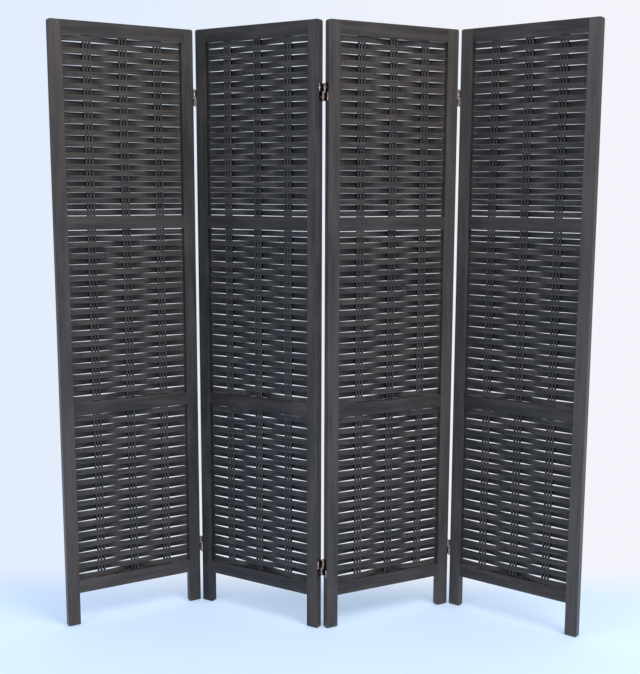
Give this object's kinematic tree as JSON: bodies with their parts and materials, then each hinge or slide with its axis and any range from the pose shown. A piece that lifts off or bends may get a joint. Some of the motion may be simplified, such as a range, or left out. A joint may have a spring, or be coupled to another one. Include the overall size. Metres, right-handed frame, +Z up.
{
  "type": "folding screen",
  "caption": "Free-standing zigzag folding screen in dark stained bamboo, with framed panels of strips woven round upright stakes, joined by crossed-strap hinges that fold flat.",
  "frame": {"origin": "on the floor, in the middle of the plan of the screen as it stands in its zigzag", "axes": "+X to the viewer's right along the screen, +Y to the rear, +Z up"},
  "size_m": [1.561, 0.31, 1.8],
  "materials": {
    "frame": "satin dark stain over close grain",
    "weave": "satin dark stain, smooth split bamboo",
    "stakes": "satin dark stain",
    "hinge_metal": "satin plated"
  },
  "bodies": {
    "panel_1": {"panel_1_bottom_rail": "frame", "panel_1_left_stile": "frame", "panel_1_lower_rail": "frame", "panel_1_lower_weave": "weave", "panel_1_middle_weave": "weave", "panel_1_right_stile": "frame", "panel_1_stakes": "stakes", "panel_1_top_rail": "frame", "panel_1_upper_rail": "frame", "panel_1_upper_weave": "weave", "fold_1_left_leaves": "hinge_metal"},
    "panel_2": {"panel_2_bottom_rail": "frame", "panel_2_left_stile": "frame", "panel_2_lower_rail": "frame", "panel_2_lower_weave": "weave", "panel_2_middle_weave": "weave", "panel_2_right_stile": "frame", "panel_2_stakes": "stakes", "panel_2_top_rail": "frame", "panel_2_upper_rail": "frame", "panel_2_upper_weave": "weave", "fold_1_right_leaves": "hinge_metal", "fold_2_left_leaves": "hinge_metal"},
    "panel_3": {"panel_3_bottom_rail": "frame", "panel_3_left_stile": "frame", "panel_3_lower_rail": "frame", "panel_3_lower_weave": "weave", "panel_3_middle_weave": "weave", "panel_3_right_stile": "frame", "panel_3_stakes": "stakes", "panel_3_top_rail": "frame", "panel_3_upper_rail": "frame", "panel_3_upper_weave": "weave", "fold_2_right_leaves": "hinge_metal", "fold_3_left_leaves": "hinge_metal"},
    "panel_4": {"panel_4_bottom_rail": "frame", "panel_4_left_stile": "frame", "panel_4_lower_rail": "frame", "panel_4_lower_weave": "weave", "panel_4_middle_weave": "weave", "panel_4_right_stile": "frame", "panel_4_stakes": "stakes", "panel_4_top_rail": "frame", "panel_4_upper_rail": "frame", "panel_4_upper_weave": "weave", "fold_3_right_leaves": "hinge_metal"},
    "fold_1_upper_straps": {"fold_1_upper_straps": "hinge_metal"},
    "fold_1_lower_straps": {"fold_1_lower_straps": "hinge_metal"},
    "fold_2_upper_straps": {"fold_2_upper_straps": "hinge_metal"},
    "fold_2_lower_straps": {"fold_2_lower_straps": "hinge_metal"},
    "fold_3_upper_straps": {"fold_3_upper_straps": "hinge_metal"},
    "fold_3_lower_straps": {"fold_3_lower_straps": "hinge_metal"}
  },
  "joints": [
    {"name": "fold_1", "type": "hinge", "parent": "panel_1", "child": "panel_2", "pos_m": [-0.38905, 0.13193, 1.6], "axis": [0, 0, -1], "range_deg": [-62.5, 116.5]},
    {"name": "fold_1_upper_strap_pivot", "type": "hinge", "parent": "panel_1", "child": "fold_1_upper_straps", "pos_m": [-0.38944, 0.13194, 1.6], "axis": [0, 0, -1], "range_deg": [-61.62, 114.43]},
    {"name": "fold_1_lower_strap_pivot", "type": "hinge", "parent": "panel_1", "child": "fold_1_lower_straps", "pos_m": [-0.40183, 0.15249, 1.6], "axis": [0, 0, -1], "range_deg": [-1.88, 3.07]},
    {"name": "fold_2", "type": "hinge", "parent": "panel_2", "child": "panel_3", "pos_m": [0.00511, -0.07975, 1.6], "axis": [0, 0, 1], "range_deg": [-59.5, 119.5]},
    {"name": "fold_2_lower_strap_pivot", "type": "hinge", "parent": "panel_2", "child": "fold_2_lower_straps", "pos_m": [0.00471, -0.07974, 1.6], "axis": [0, 0, 1], "range_deg": [-58.65, 117.29]},
    {"name": "fold_2_upper_strap_pivot", "type": "hinge", "parent": "panel_2", "child": "fold_2_upper_straps", "pos_m": [-0.00779, -0.10023, 1.6], "axis": [0, 0, 1], "range_deg": [-1.85, 3.21]},
    {"name": "fold_3", "type": "hinge", "parent": "panel_3", "child": "panel_4", "pos_m": [0.41082, 0.1089, 1.6], "axis": [0, 0, -1], "range_deg": [-64.8, 114.19]},
    {"name": "fold_3_upper_strap_pivot", "type": "hinge", "parent": "panel_3", "child": "fold_3_upper_straps", "pos_m": [0.41044, 0.10893, 1.6], "axis": [0, 0, -1], "range_deg": [-63.9, 112.23]},
    {"name": "fold_3_lower_strap_pivot", "type": "hinge", "parent": "panel_3", "child": "fold_3_lower_straps", "pos_m": [0.39914, 0.1301, 1.6], "axis": [0, 0, -1], "range_deg": [-1.9, 2.96]}
  ],
  "couplings": [
    {"joint": "fold_1_upper_strap_pivot", "follows": "fold_1", "ratio": 0.97797},
    {"joint": "fold_1_lower_strap_pivot", "follows": "fold_1", "ratio": 0.022033},
    {"joint": "fold_2_lower_strap_pivot", "follows": "fold_2", "ratio": 0.97729},
    {"joint": "fold_2_upper_strap_pivot", "follows": "fold_2", "ratio": 0.022713},
    {"joint": "fold_3_upper_strap_pivot", "follows": "fold_3", "ratio": 0.97845},
    {"joint": "fold_3_lower_strap_pivot", "follows": "fold_3", "ratio": 0.02155}
  ]
}
